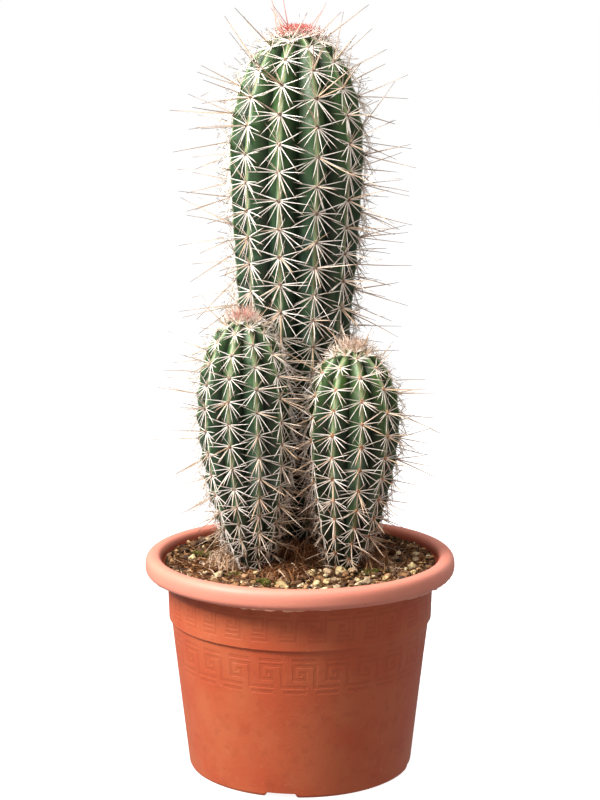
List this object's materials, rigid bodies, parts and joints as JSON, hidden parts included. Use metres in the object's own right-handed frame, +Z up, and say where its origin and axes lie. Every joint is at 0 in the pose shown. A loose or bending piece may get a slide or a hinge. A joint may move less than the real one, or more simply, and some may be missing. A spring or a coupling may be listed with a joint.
{
  "type": "potted tall cactus",
  "caption": "Tall ribbed cactus with two shorter side stems, covered in long pale spines, in a terracotta-coloured plastic pot with a rolled rim and a key-pattern band.",
  "frame": {"origin": "on the floor at the pot's axis, in the plane of the foot ring's underside", "axes": "+Z up along the pot's axis, -Y towards the front where the two short stems stand, +X to the right seen from the front"},
  "size_m": [0.3, 0.3069, 0.74],
  "materials": {
    "terracotta_plastic": "injection moulded, satin",
    "soil_mix": "granular",
    "main_stem_flesh": "waxy",
    "left_stem_flesh": "waxy",
    "right_stem_flesh": "waxy",
    "pale_pebble": "rough",
    "moss": "tufted",
    "dry_root_fibre": "dry"
  },
  "bodies": {
    "root": {"pot": "terracotta_plastic", "soil": "soil_mix", "main_stem": "main_stem_flesh", "left_stem": "left_stem_flesh", "right_stem": "right_stem_flesh", "pebble_01": "pale_pebble", "pebble_02": "pale_pebble", "pebble_03": "pale_pebble", "pebble_04": "pale_pebble", "pebble_05": "pale_pebble", "pebble_06": "pale_pebble", "pebble_07": "pale_pebble", "pebble_08": "pale_pebble", "pebble_09": "pale_pebble", "pebble_10": "pale_pebble", "pebble_11": "pale_pebble", "pebble_12": "pale_pebble", "pebble_13": "pale_pebble", "pebble_14": "pale_pebble", "pebble_15": "pale_pebble", "pebble_16": "pale_pebble", "pebble_17": "pale_pebble", "pebble_18": "pale_pebble", "pebble_19": "pale_pebble", "pebble_20": "pale_pebble", "pebble_21": "pale_pebble", "pebble_22": "pale_pebble", "moss_01": "moss", "moss_02": "moss", "moss_03": "moss", "moss_04": "moss", "root_fibre_01": "dry_root_fibre", "root_fibre_02": "dry_root_fibre", "root_fibre_03": "dry_root_fibre", "root_fibre_04": "dry_root_fibre", "root_fibre_05": "dry_root_fibre", "root_fibre_06": "dry_root_fibre"}
  },
  "joints": []
}
